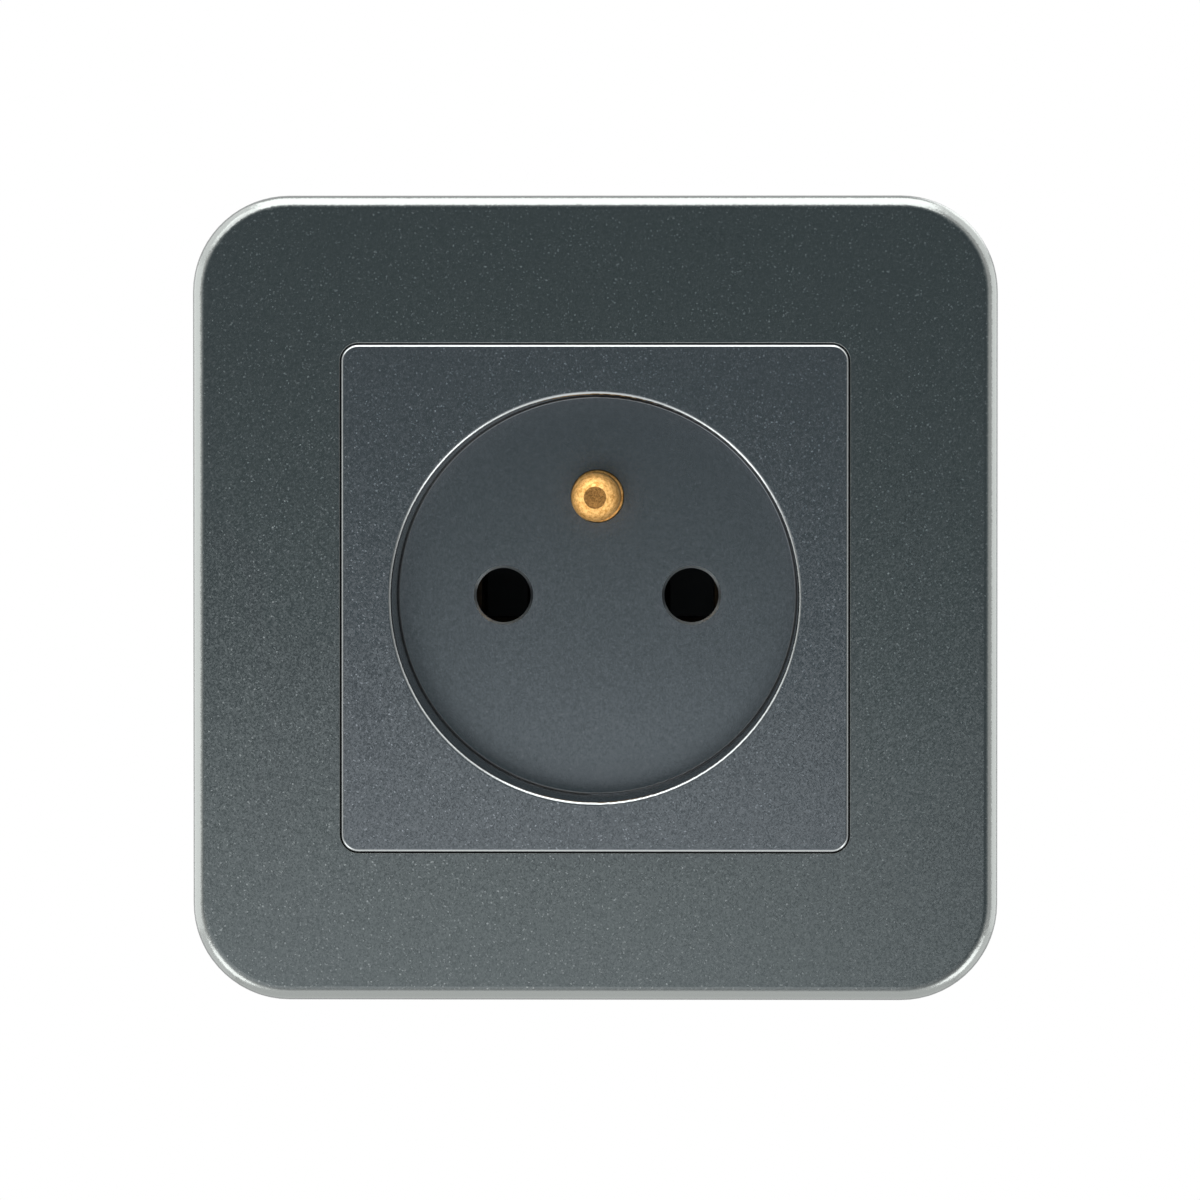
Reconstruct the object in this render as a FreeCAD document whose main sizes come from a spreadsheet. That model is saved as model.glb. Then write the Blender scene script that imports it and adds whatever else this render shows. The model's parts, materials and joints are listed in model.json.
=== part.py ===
"""Flush wall socket with an earth pin: square frame, cover with a round plug well, and mechanism.

X runs to the right, Z up and Y into the wall. The wall's face is the plane Y = 0, and the origin
lies on the socket's axis. A level is a distance in front of the wall, so that Y = -level.
"""

import FreeCAD, Part
import math
import os
import re
import Sketcher

# Driving sizes in millimetres
SIZES = {
    # outer frame
    "frame_size": "80",
    "frame_depth": "9.6",
    "frame_corner": "9.6",
    "frame_edge": "1.4",
    "frame_wall": "2.2",
    "frame_collar": "1.6",
    "frame_rib": "1.2",
    "frame_rib_offset": "15",
    "frame_rib_clearance": "0.2",
    "ledge_width": "1.6",
    "ledge_thickness": "1.6",
    "opening_edge": "0.12",
    # cover plate and plug well
    "cover_margin": "1.7",
    "cover_corner": "1.7",
    "cover_edge": "0.3",
    "cover_proud": "0.3",
    "cover_thickness": "2",
    "cover_skirt": "1.6",
    "cover_gap": "0.1",
    "well_diameter": "40.4",
    "well_depth": "15",
    "well_wall": "1.8",
    "well_lip": "0.4",
    "well_bottom_round": "0.3",
    "well_clearance": "0.3",
    "floor_thickness": "2.4",
    "hook_offset": "13",
    "hook_width": "6",
    "hook_thickness": "1.4",
    "hook_catch": "0.7",
    "hook_nose": "2.4",
    "hook_nose_flat": "0.8",
    "hook_clearance": "0.2",
    # pins
    "pin_spacing": "19",
    "pin_hole": "5.5",
    "pin_hole_chamfer": "0.25",
    "pin_reach": "19.9",
    "earth_offset": "10",
    "earth_diameter": "4.8",
    "earth_length": "14",
    "earth_tip_flat": "2.15",
    "earth_tip_length": "1",
    "earth_tip_round": "2",
    "earth_collar": "5.2",
    "earth_flange": "7.4",
    "earth_flange_thickness": "1",
    "earth_tail": "3",
    "earth_rivet": "4.6",
    "earth_rivet_thickness": "0.8",
    "pin_clearance": "0.1",
    # support plate
    "plate_inset": "5",
    "plate_corner": "6",
    "plate_thickness": "1.2",
    "plate_opening_corner": "5",
    "leg_width": "12",
    "leg_length": "19",
    "leg_bend": "0.8",
    "leg_relief": "0.6",
    "window_width": "6.4",
    "window_start": "12",
    "window_length": "3",
    "box_screw_spacing": "60",
    "box_slot_width": "3.6",
    "box_slot_length": "5.2",
    # contact base and lid
    "lid_gap": "0.15",
    "lid_thickness": "1.6",
    "lid_inset": "0.6",
    "lid_hole_margin": "0.5",
    "base_corner": "5",
    "base_edge": "0.8",
    "base_rear_wall": "1.9",
    "base_side_wall": "2.5",
    "base_core_depth": "8",
    "claw_room": "3",
    "seat_gap": "0.1",
    "chamber_clearance": "0.25",
    "lug_width": "6",
    "lug_lead": "1.8",
    "stop_length": "3",
    "wire_hole": "3.6",
    "wire_hole_chamfer": "0.6",
    "lid_screw_depth": "8",
    "lid_screw_diameter": "2.4",
    "lid_screw_head": "4.6",
    "lid_screw_side": "12",
    "lid_screw_height": "11",
    # contacts and terminals
    "sheet": "0.8",
    "clip_width": "5.2",
    "clip_gap": "4.4",
    "clip_bow": "0.6",
    "clip_neck_depth": "4.5",
    "clip_front_gap": "0.8",
    "clip_web_length": "7",
    "tail_height": "4.6",
    "cage_wall": "1",
    "cage_width": "6",
    "cage_length": "8",
    "terminal_drop": "12.8",
    "terminal_side": "12.5",
    "terminal_screw_diameter": "3.4",
    "terminal_screw_head": "4.4",
    "terminal_screw_head_height": "1.6",
    "terminal_screw_reach": "3.4",
    "strap": "1",
    "strap_half_width": "4",
    # claws
    "claw_sheet": "1.2",
    "claw_width": "10",
    "claw_depth": "19.5",
    "claw_tip_depth": "8",
    "claw_tooth": "0.9",
    "claw_notch_spacing": "3.4",
    "claw_notch_width": "2.5",
    "claw_bend": "0.5",
    "claw_lift": "5",
    "claw_spread": "2",
    "claw_arm_clearance": "0.7",
    "claw_foot_inside": "3.1",
    "ramp_gap": "0.1",
    "ramp_lead": "0.8",
    "ramp_groove": "4.8",
    "claw_screw_inset": "1.7",
    "claw_screw_diameter": "3",
    "claw_screw_length": "23.6",
    "claw_screw_head": "5.2",
    "claw_screw_head_height": "1.3",
    "slot_clearance": "0.15",
    "thread_clearance": "0.08",
    "head_clearance": "0.5",
    "drive_slot_width": "0.8",
    "drive_slot_depth": "0.7",
}

# Places worked out from the driving sizes
PLACES = {
    # levels in front of the wall
    "cover_front": "frame_depth + cover_proud",
    "floor_front": "cover_front - well_depth",
    "floor_back": "floor_front - floor_thickness",
    "ledge_front": "plate_thickness + ledge_thickness",
    "lid_front": "floor_back - lid_gap",
    "base_front": "lid_front - lid_thickness",
    "chamber_floor": "floor_front - pin_reach",
    "base_back": "chamber_floor - base_rear_wall",
    "strap_front": "base_front - earth_flange_thickness",
    "strap_back": "strap_front - strap",
    "cage_front": "chamber_floor + cage_length",
    "terminal_level": "chamber_floor + cage_length / 2",
    "head_room": "plate_thickness + claw_screw_head_height + head_clearance",
    # distances from the socket's axis
    "frame_half": "frame_size / 2",
    "well_radius": "well_diameter / 2",
    "opening_half": "well_radius + well_wall + well_clearance + plate_thickness",
    "cover_half": "opening_half + cover_margin",
    "frame_opening_half": "cover_half + cover_gap",
    "ledge_half": "frame_opening_half - ledge_width",
    "collar_half": "frame_opening_half + frame_collar",
    "plate_half": "frame_half - plate_inset",
    "hook_face": "opening_half - hook_clearance",
    "base_half_width": "opening_half - plate_thickness - seat_gap",
    "base_half_height": "opening_half - claw_room",
    # contacts, seen from the front on the right-hand side
    "pin_side": "pin_spacing / 2",
    "contact_face": "pin_side + clip_gap / 2",
    "contact_back": "contact_face + sheet",
    "clip_inner_face": "pin_side - clip_gap / 2",
    "clip_inside": "clip_inner_face - sheet - clip_bow",
    "cage_inside": "contact_face - cage_wall",
    "cage_outside": "base_half_width - base_side_wall - chamber_clearance",
    "cage_half": "cage_width / 2",
    "wire_side": "(contact_back + cage_outside - cage_wall) / 2",
    # earth terminal, above the well's axis
    "tongue_bottom": "earth_offset + chamber_clearance",
    "tongue_top": "tongue_bottom + strap",
    "earth_cage_bottom": "tongue_bottom - cage_wall",
    "earth_cage_top": "base_half_height - base_side_wall - chamber_clearance",
    "earth_wire_height": "(tongue_top + earth_cage_top - cage_wall) / 2",
    # claws, seen on the upper side
    "screw_rest": "opening_half + claw_screw_inset",
    "screw_far": "screw_rest + claw_spread",
    "claw_foot_inner": "screw_rest - claw_foot_inside",
    "claw_arm_inner": "screw_rest + claw_screw_diameter / 2 + claw_arm_clearance",
    "claw_arm_outer": "claw_arm_inner + claw_sheet",
    "claw_tooth_tip": "claw_arm_outer + claw_tooth",
    "ramp_slope": "claw_spread / claw_lift",
    "ramp_at_foot": "claw_foot_inner - ramp_gap",
}

QUARTER_TURN = 90.0
POSITION_TOLERANCE = 1e-4

doc = FreeCAD.newDocument("wall_socket")


def fill_sheets():
    """Write the driving sizes as plain numbers and the places as formulas on a second sheet."""
    sheets = [doc.addObject("Spreadsheet::Sheet", name) for name in ("Sizes", "Places")]
    for sheet, cells in zip(sheets, (SIZES, PLACES)):
        for row, (alias, content) in enumerate(cells.items(), start=1):
            sheet.set("A%d" % row, alias)
            sheet.setAlias("B%d" % row, alias)
            sheet.set("B%d" % row, content if sheet.Name == "Sizes" else "=" + bound(content, "Places"))
    doc.recompute()
    return sheets[0]


def bound(formula, home=""):
    """Give each alias in a formula the name of its sheet."""
    def with_sheet(match):
        word = match.group(0)
        if word in SIZES:
            return "Sizes." + word
        if word in PLACES:
            return word if home == "Places" else "Places." + word
        return word
    return re.sub(r"[a-z_]+", with_sheet, str(formula))


def value(formula):
    """The number that a formula gives now."""
    return float(sheet_of_sizes.evalExpression(bound(formula)))


# Sketches

PLANES = {"front": "XZ_Plane", "side": "YZ_Plane", "top": "XY_Plane"}


def new_body(label):
    body = doc.addObject("PartDesign::Body", label)
    body.Label = label
    return body


def origin_feature(body, role):
    return next(feature for feature in body.Origin.OriginFeatures if feature.Role == role)


def new_sketch(body, plane, offset="0"):
    """A sketch on one of the body's own planes, moved along the plane's normal."""
    sketch = body.newObject("Sketcher::SketchObject", body.Name + "_sketch")
    sketch.AttachmentSupport = [(origin_feature(body, PLANES[plane]), "")]
    sketch.MapMode = "FlatFace"
    sketch.setExpression("AttachmentOffset.Base.z", bound(offset))
    return sketch


def pin_down(sketch, geometry, point, along, across):
    """Hold one point of a sketch at the place that two formulas give."""
    for kind, axis, formula in (("DistanceX", -2, along), ("DistanceY", -1, across)):
        number = value(formula)
        if str(formula) == "0":
            sketch.addConstraint(Sketcher.Constraint("PointOnObject", geometry, point, axis))
            continue
        index = sketch.addConstraint(Sketcher.Constraint(kind, -1, 1, geometry, point, number))
        sketch.setExpression("Constraints[%d]" % index, bound(formula))


def add_outline(sketch, corners):
    """A closed outline. A corner is two formulas, and a third one rounds a right angle with an arc."""
    places = [FreeCAD.Vector(value(corner[0]), value(corner[1]), 0) for corner in corners]
    nodes = []
    bends = {}
    for i, (along, across, *radius) in enumerate(corners):
        if not radius:
            nodes.append((along, across))
            continue
        before = (places[i - 1] - places[i]).normalize()
        after = (places[(i + 1) % len(places)] - places[i]).normalize()
        bends[len(nodes)] = (places[i] + (before + after) * value(radius[0]), radius[0])
        for way in (before, after):
            shifts = ["%s + (%d) * (%s)" % (place, round(step), radius[0])
                      for place, step in zip((along, across), way)]
            nodes.append(tuple(shifts))
    first = sketch.GeometryCount
    points = [FreeCAD.Vector(value(along), value(across), 0) for along, across in nodes]
    ends = []
    for i, start in enumerate(points):
        finish = points[(i + 1) % len(points)]
        if i in bends:
            arc, is_forward = corner_arc(start, finish, bends[i][0])
            ends.append((1, 2) if is_forward else (2, 1))
            sketch.addGeometry(arc, False)
        else:
            ends.append((1, 2))
            sketch.addGeometry(Part.LineSegment(start, finish), False)
    for i, (along, across) in enumerate(nodes):
        following = (i + 1) % len(nodes)
        joint = (first + i, ends[i][1], first + following, ends[following][0])
        sketch.addConstraint(Sketcher.Constraint("Coincident", *joint))
        line, end = (i - 1, 1) if i in bends else (i, 0)
        pin_down(sketch, first + line % len(nodes), ends[line][end], along, across)
    for i, (_, radius) in bends.items():
        index = sketch.addConstraint(Sketcher.Constraint("Radius", first + i, value(radius)))
        sketch.setExpression("Constraints[%d]" % index, bound(radius))


def corner_arc(start, finish, centre):
    """A quarter arc round a centre, and whether it runs from start to finish."""
    from_centre = [start - centre, finish - centre]
    is_forward = from_centre[0].cross(from_centre[1]).z > 0
    if not is_forward:
        from_centre.reverse()
    angle = math.atan2(from_centre[0].y, from_centre[0].x)
    circle = Part.Circle(centre, FreeCAD.Vector(0, 0, 1), from_centre[0].Length)
    return Part.ArcOfCircle(circle, angle, angle + math.pi / 2), is_forward


def add_rectangle(sketch, left, bottom, right, top):
    add_outline(sketch, [(left, bottom), (right, bottom), (right, top), (left, top)])


def add_square(sketch, half):
    add_rectangle(sketch, "-(%s)" % half, "-(%s)" % half, half, half)


def add_rounded_square(sketch, half, radius):
    low = "-(%s)" % half
    add_outline(sketch, [(low, low, radius), (half, low, radius), (half, half, radius), (low, half, radius)])


def add_circle(sketch, along, across, radius):
    centre = FreeCAD.Vector(value(along), value(across), 0)
    geometry = sketch.addGeometry(Part.Circle(centre, FreeCAD.Vector(0, 0, 1), value(radius)), False)
    pin_down(sketch, geometry, 3, along, across)
    index = sketch.addConstraint(Sketcher.Constraint("Radius", geometry, value(radius)))
    sketch.setExpression("Constraints[%d]" % index, bound(radius))


# Features

def pad(body, sketch, length, both_ways=False):
    """Add material along the sketch's normal, which points to the front for a front sketch."""
    feature = body.newObject("PartDesign::Pad", body.Name + "_pad")
    feature.Profile = sketch
    feature.SideType = "Symmetric" if both_ways else "One side"
    feature.setExpression("Length", bound(length))
    doc.recompute()
    return feature


def pocket(body, sketch, length, both_ways=False):
    """Cut against the sketch's normal, and stop if the cut meets no material."""
    before = body.Shape.Volume
    feature = body.newObject("PartDesign::Pocket", body.Name + "_pocket")
    feature.Profile = sketch
    feature.SideType = "Symmetric" if both_ways else "One side"
    feature.setExpression("Length", bound(length))
    doc.recompute()
    if not feature.Shape.Volume < before:
        raise RuntimeError("a pocket of %s cuts nothing" % body.Label)
    return feature


def revolve(body, sketch, axis):
    feature = body.newObject("PartDesign::Revolution", body.Name + "_revolution")
    feature.Profile = sketch
    feature.ReferenceAxis = (sketch, [axis])
    doc.recompute()
    return feature


def mirror(body, feature, role):
    copy = body.newObject("PartDesign::Mirrored", body.Name + "_mirrored")
    copy.Originals = [feature]
    copy.MirrorPlane = (origin_feature(body, role), [""])
    body.Tip = copy
    doc.recompute()
    return copy


def edges_where(body, test):
    """Names of the edges whose box passes a test."""
    names = []
    for number, edge in enumerate(body.Shape.Edges, start=1):
        if test(edge.BoundBox):
            names.append("Edge%d" % number)
    return names


def round_edges(body, test, radius, kind="Fillet"):
    names = edges_where(body, test)
    feature = body.newObject("PartDesign::" + kind, body.Name + "_" + kind.lower())
    feature.Base = (body.Tip if body.Tip != feature else feature.BaseFeature, names)
    feature.setExpression("Radius" if kind == "Fillet" else "Size", bound(radius))
    doc.recompute()
    return feature


def close(first, second):
    return abs(first - second) < POSITION_TOLERANCE


def at_level(box, level):
    """Whether an edge's box lies in the plane at one level in front of the wall."""
    return close(box.YMin, -level) and close(box.YMax, -level)


def runs_along(box, axis):
    """Whether an edge is a straight run parallel to an axis."""
    sizes = {"x": box.XLength, "y": box.YLength, "z": box.ZLength}
    return sizes[axis] > POSITION_TOLERANCE and all(
        size < POSITION_TOLERANCE for name, size in sizes.items() if name != axis
    )


# Sub-parts

def make_outer_frame():
    body = new_body("outer_frame")
    outline = new_sketch(body, "front")
    add_rounded_square(outline, "frame_half", "frame_corner")
    pad(body, outline, "frame_depth")
    front = value("frame_depth")
    round_edges(body, lambda box: at_level(box, front), "frame_edge")

    hollow = new_sketch(body, "front", "frame_depth - frame_wall")
    add_rounded_square(hollow, "frame_half - frame_wall", "frame_corner - frame_wall")
    pocket(body, hollow, "frame_depth")

    collar = new_sketch(body, "front", "plate_thickness")
    add_square(collar, "collar_half")
    pad(body, collar, "frame_depth - frame_wall - plate_thickness")

    ribs = new_sketch(body, "front", "plate_thickness + frame_rib_clearance")
    for side in ("", "-"):
        middle = side + "frame_rib_offset"
        add_rectangle(
            ribs,
            "collar_half - frame_collar / 2",
            middle + " - frame_rib / 2",
            "frame_half - frame_wall / 2",
            middle + " + frame_rib / 2",
        )
    rib_pair = pad(body, ribs, "frame_depth - frame_wall - plate_thickness - frame_rib_clearance")
    all_ribs = body.newObject("PartDesign::PolarPattern", "outer_frame_ribs")
    all_ribs.Originals = [rib_pair]
    all_ribs.Axis = (origin_feature(body, "Y_Axis"), [""])
    all_ribs.Angle = 4 * QUARTER_TURN
    all_ribs.Occurrences = 4
    body.Tip = all_ribs
    doc.recompute()

    opening = new_sketch(body, "front", "frame_depth")
    add_rounded_square(opening, "frame_opening_half", "cover_corner + cover_gap")
    pocket(body, opening, "frame_depth - ledge_front")
    half = value("frame_opening_half")
    inside = new_sketch(body, "front", "ledge_front")
    add_square(inside, "ledge_half")
    pocket(body, inside, "ledge_front")

    notches = new_sketch(body, "front", "head_room")
    notch_half = "claw_screw_head / 2 + head_clearance"
    far = "screw_far + claw_screw_head / 2 + head_clearance"
    for side in ("", "-"):
        edges = [side + "(ledge_half - ledge_width)", side + "(%s)" % far]
        add_rectangle(notches, "-(%s)" % notch_half, edges[0], notch_half, edges[1])
    pocket(body, notches, "head_room")

    def opening_rim(box):
        return at_level(box, front) and max(abs(box.XMin), abs(box.ZMin)) < half + POSITION_TOLERANCE

    round_edges(body, opening_rim, "opening_edge")
    return body


def make_cover_plate():
    body = new_body("cover_plate")
    outline = new_sketch(body, "front", "ledge_front")
    add_rounded_square(outline, "cover_half", "cover_corner")
    pad(body, outline, "cover_front - ledge_front")
    front = value("cover_front")
    round_edges(body, lambda box: at_level(box, front), "cover_edge")

    inside = new_sketch(body, "front", "cover_front - cover_thickness")
    add_square(inside, "cover_half - cover_skirt")
    pocket(body, inside, "cover_front - cover_thickness - ledge_front")

    cup = new_sketch(body, "front", "floor_back")
    add_circle(cup, "0", "0", "well_radius + well_wall")
    pad(body, cup, "cover_front - cover_thickness / 2 - floor_back")
    well = new_sketch(body, "front", "cover_front")
    add_circle(well, "0", "0", "well_radius")
    pocket(body, well, "well_depth")
    radius = value("well_radius")

    def well_circle(level):
        return lambda box: at_level(box, level) and close(box.XLength, 2 * radius)

    round_edges(body, well_circle(front), "well_lip")
    round_edges(body, well_circle(value("floor_front")), "well_bottom_round")

    holes = new_sketch(body, "front", "floor_front")
    for side in ("", "-"):
        add_circle(holes, side + "pin_side", "0", "pin_hole / 2")
    add_circle(holes, "0", "earth_offset", "earth_collar / 2 + pin_clearance")
    pocket(body, holes, "floor_thickness")
    floor = value("floor_front")
    hole_width = value("pin_hole")

    def pin_hole_rim(box):
        return at_level(box, floor) and close(box.XLength, hole_width)

    round_edges(body, pin_hole_rim, "pin_hole_chamfer", "Chamfer")

    hooks = new_sketch(body, "side", "hook_offset")
    catch_back = "hook_clearance"
    for side in ("", "-"):
        add_outline(hooks, [
            ("-(cover_front - cover_thickness / 2)", side + "hook_face"),
            (catch_back, side + "hook_face"),
            (catch_back, side + "(hook_face + hook_catch)"),
            (catch_back + " + hook_nose_flat", side + "(hook_face + hook_catch)"),
            (catch_back + " + hook_nose", side + "hook_face"),
            (catch_back + " + hook_nose", side + "(hook_face - hook_thickness)"),
            ("-(cover_front - cover_thickness / 2)", side + "(hook_face - hook_thickness)"),
        ])
    right_hooks = pad(body, hooks, "hook_width", both_ways=True)
    mirror(body, right_hooks, "YZ_Plane")
    return body


def make_support_plate():
    body = new_body("support_plate")
    outline = new_sketch(body, "front")
    add_rounded_square(outline, "plate_half", "plate_corner")
    pad(body, outline, "plate_thickness")
    opening = new_sketch(body, "front", "plate_thickness")
    add_rounded_square(opening, "opening_half", "plate_opening_corner")
    pocket(body, opening, "plate_thickness")

    reliefs = new_sketch(body, "front", "plate_thickness")
    relief_half = "leg_width / 2 + leg_relief"
    for side in ("", "-"):
        edges = [side + "(opening_half - plate_thickness)", side + "(opening_half + leg_bend)"]
        add_rectangle(reliefs, edges[0], "-(%s)" % relief_half, edges[1], relief_half)
    pocket(body, reliefs, "plate_thickness")
    leg = new_sketch(body, "top")
    root = "opening_half + leg_bend + leg_relief"
    add_outline(leg, [
        (root, "-plate_thickness"),
        ("opening_half - plate_thickness", "-plate_thickness", "leg_bend + plate_thickness"),
        ("opening_half - plate_thickness", "leg_length"),
        ("opening_half", "leg_length"),
        ("opening_half", "0", "leg_bend"),
        (root, "0"),
    ])
    mirror(body, pad(body, leg, "leg_width", both_ways=True), "YZ_Plane")

    windows = new_sketch(body, "side")
    add_rectangle(windows, "window_start", "-window_width / 2", "window_start + window_length", "window_width / 2")
    pocket(body, windows, "2 * plate_half", both_ways=True)

    box_slots = new_sketch(body, "front", "plate_thickness")
    run = "(box_slot_length - box_slot_width) / 2"
    inner, outer = ["(box_screw_spacing / 2 %s %s)" % (sign, run) for sign in "-+"]
    for side in ("", "-"):
        add_rectangle(box_slots, side + inner, "-box_slot_width / 2", side + outer, "box_slot_width / 2")
    pocket(body, box_slots, "plate_thickness")
    for end in (inner, outer):
        slot_ends = new_sketch(body, "front", "plate_thickness")
        for side in ("", "-"):
            add_circle(slot_ends, side + end, "0", "box_slot_width / 2")
        pocket(body, slot_ends, "plate_thickness")

    claw_slots = new_sketch(body, "front", "plate_thickness")
    claw_slot_ends = new_sketch(body, "front", "plate_thickness")
    slot_half = "claw_screw_diameter / 2 + slot_clearance"
    for side in ("", "-"):
        edges = [side + "(opening_half - plate_thickness)", side + "screw_far"]
        add_rectangle(claw_slots, "-(%s)" % slot_half, edges[0], slot_half, edges[1])
        add_circle(claw_slot_ends, "0", side + "screw_far", slot_half)
    pocket(body, claw_slots, "plate_thickness")
    pocket(body, claw_slot_ends, "plate_thickness")
    return body


def make_contact_base():
    body = new_body("contact_base")
    block = new_sketch(body, "front", "base_back")
    add_rectangle(block, "-base_half_width", "-base_half_height", "base_half_width", "base_half_height")
    pad(body, block, "base_front - base_back")
    round_edges(body, lambda box: runs_along(box, "y"), "base_corner")
    back = value("base_back")
    round_edges(body, lambda box: at_level(box, back), "base_edge")

    stop = new_sketch(body, "top")
    add_rectangle(stop, "base_half_width - base_side_wall", "leg_length", "opening_half", "leg_length + stop_length")
    mirror(body, pad(body, stop, "leg_width", both_ways=True), "YZ_Plane")
    lug = new_sketch(body, "top")
    add_outline(lug, [
        ("base_half_width - base_side_wall", "window_start + seat_gap"),
        ("base_half_width", "window_start + seat_gap"),
        ("opening_half - seat_gap", "window_start + lug_lead"),
        ("opening_half - seat_gap", "window_start + window_length - seat_gap"),
        ("base_half_width - base_side_wall", "window_start + window_length - seat_gap"),
    ])
    mirror(body, pad(body, lug, "lug_width", both_ways=True), "YZ_Plane")

    ramp = new_sketch(body, "side")
    ramp_front = "claw_depth - claw_lift - ramp_lead"
    ramp_rear = "claw_depth + (ramp_at_foot - base_half_height) / ramp_slope"
    add_outline(ramp, [
        (ramp_front, "base_half_height - base_side_wall"),
        (ramp_front, "ramp_at_foot + ramp_slope * (claw_lift + ramp_lead)"),
        (ramp_rear, "base_half_height"),
        (ramp_rear, "base_half_height - base_side_wall"),
    ])
    mirror(body, pad(body, ramp, "claw_width", both_ways=True), "XY_Plane")
    grooves = new_sketch(body, "front", "base_front")
    for side in ("", "-"):
        edges = [side + "base_half_height", side + "(screw_far + claw_screw_diameter)"]
        add_rectangle(grooves, "-ramp_groove / 2", edges[0], "ramp_groove / 2", edges[1])
    pocket(body, grooves, "base_front - base_back")

    chamber = new_sketch(body, "front", "base_front")
    clip_top = "clip_width / 2 + chamber_clearance"
    clip_bottom = "-(clip_width / 2 + sheet + chamber_clearance)"
    cage_top = "-(terminal_drop - cage_half - chamber_clearance)"
    cage_bottom = "-(terminal_drop + cage_half + chamber_clearance)"
    add_outline(chamber, [
        ("clip_inside - chamber_clearance", clip_top),
        ("clip_inside - chamber_clearance", clip_bottom),
        ("contact_face - chamber_clearance", clip_bottom),
        ("contact_face - chamber_clearance", cage_top),
        ("cage_inside - chamber_clearance", cage_top),
        ("cage_inside - chamber_clearance", cage_bottom),
        ("cage_outside + chamber_clearance", cage_bottom),
        ("cage_outside + chamber_clearance", cage_top),
        ("contact_back + chamber_clearance", cage_top),
        ("contact_back + chamber_clearance", clip_top),
    ])
    mirror(body, pocket(body, chamber, "base_front - chamber_floor"), "YZ_Plane")

    strap_seat = new_sketch(body, "front", "base_front")
    add_strap_outline(strap_seat, "chamber_clearance")
    pocket(body, strap_seat, "base_front - strap_back")
    rivet_room = new_sketch(body, "front", "strap_back")
    add_circle(rivet_room, "0", "earth_offset", "earth_rivet / 2 + chamber_clearance")
    pocket(body, rivet_room, "earth_rivet_thickness + chamber_clearance")
    earth_chamber = new_sketch(body, "front", "base_front")
    add_rectangle(
        earth_chamber,
        "terminal_side - cage_half - chamber_clearance",
        "earth_cage_bottom - chamber_clearance",
        "terminal_side + cage_half + chamber_clearance",
        "earth_cage_top + chamber_clearance",
    )
    pocket(body, earth_chamber, "base_front - chamber_floor")

    wire_holes = new_sketch(body, "front", "chamber_floor")
    for side in ("", "-"):
        add_circle(wire_holes, side + "wire_side", "-terminal_drop", "wire_hole / 2")
    add_circle(wire_holes, "terminal_side", "earth_wire_height", "wire_hole / 2")
    pocket(body, wire_holes, "base_rear_wall")
    hole_width = value("wire_hole")

    def wire_hole_rim(box):
        return at_level(box, back) and close(box.XLength, hole_width)

    round_edges(body, wire_hole_rim, "wire_hole_chamfer", "Chamfer")

    head_hole = "terminal_screw_head / 2 + chamber_clearance"
    side_hole = new_sketch(body, "side", "base_half_width")
    add_circle(side_hole, "-terminal_level", "-terminal_drop", head_hole)
    mirror(body, pocket(body, side_hole, "base_side_wall"), "YZ_Plane")
    top_hole = new_sketch(body, "top", "base_half_height")
    add_circle(top_hole, "terminal_side", "-terminal_level", head_hole)
    pocket(body, top_hole, "base_side_wall")

    screw_holes = new_sketch(body, "front", "base_front")
    for side, height in LID_SCREW_PLACES:
        add_circle(screw_holes, side, height, "lid_screw_diameter / 2 + thread_clearance")
    pocket(body, screw_holes, "lid_screw_depth")

    cores = new_sketch(body, "front", "base_back + base_core_depth")
    core_edge = "base_half_height - base_side_wall"
    core_bottom = "clip_width / 2 + 2 * base_side_wall"
    add_rectangle(cores, "-(base_half_width - base_corner)", core_bottom, "-base_side_wall", core_edge)
    core_half = "clip_inside - chamber_clearance - base_side_wall / 2"
    add_rectangle(cores, "-(%s)" % core_half, "-(%s)" % core_edge, core_half, "-clip_width / 2")
    pocket(body, cores, "base_core_depth")
    return body


def add_strap_outline(sketch, margin):
    """The flat part of the earth strap: a pad round the pin and an arm to the terminal."""
    arm_end = "terminal_side + cage_half - cage_wall"
    low = "earth_offset - strap_half_width - " + margin
    add_outline(sketch, [
        ("-(strap_half_width + %s)" % margin, low),
        (arm_end + " + " + margin, low),
        (arm_end + " + " + margin, "tongue_top + " + margin),
        ("strap_half_width + " + margin, "tongue_top + " + margin),
        ("strap_half_width + " + margin, "earth_offset + strap_half_width + " + margin),
        ("-(strap_half_width + %s)" % margin, "earth_offset + strap_half_width + " + margin),
    ])


LID_SCREW_PLACES = (("-lid_screw_side", "lid_screw_height"), ("0", "-lid_screw_height"))


def make_contact_lid():
    body = new_body("contact_lid")
    outline = new_sketch(body, "front", "base_front")
    half_width = "base_half_width - lid_inset"
    half_height = "base_half_height - lid_inset"
    add_rectangle(outline, "-(%s)" % half_width, "-(%s)" % half_height, half_width, half_height)
    pad(body, outline, "lid_thickness")
    round_edges(body, lambda box: runs_along(box, "y"), "base_corner")
    holes = new_sketch(body, "front", "lid_front")
    for side in ("", "-"):
        add_circle(holes, side + "pin_side", "0", "pin_hole / 2 + lid_hole_margin")
    add_circle(holes, "0", "earth_offset", "earth_collar / 2 + pin_clearance")
    pocket(body, holes, "lid_thickness")
    screw_holes = new_sketch(body, "front", "lid_front")
    for side, height in LID_SCREW_PLACES:
        add_circle(screw_holes, side, height, "lid_screw_diameter / 2 + thread_clearance")
    pocket(body, screw_holes, "lid_thickness")
    front = value("lid_front")
    hole_width = value("lid_screw_diameter + 2 * thread_clearance")

    def screw_hole_rim(box):
        return at_level(box, front) and close(box.XLength, hole_width)

    round_edges(body, screw_hole_rim, "(lid_screw_head - lid_screw_diameter) / 2", "Chamfer")
    return body


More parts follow.
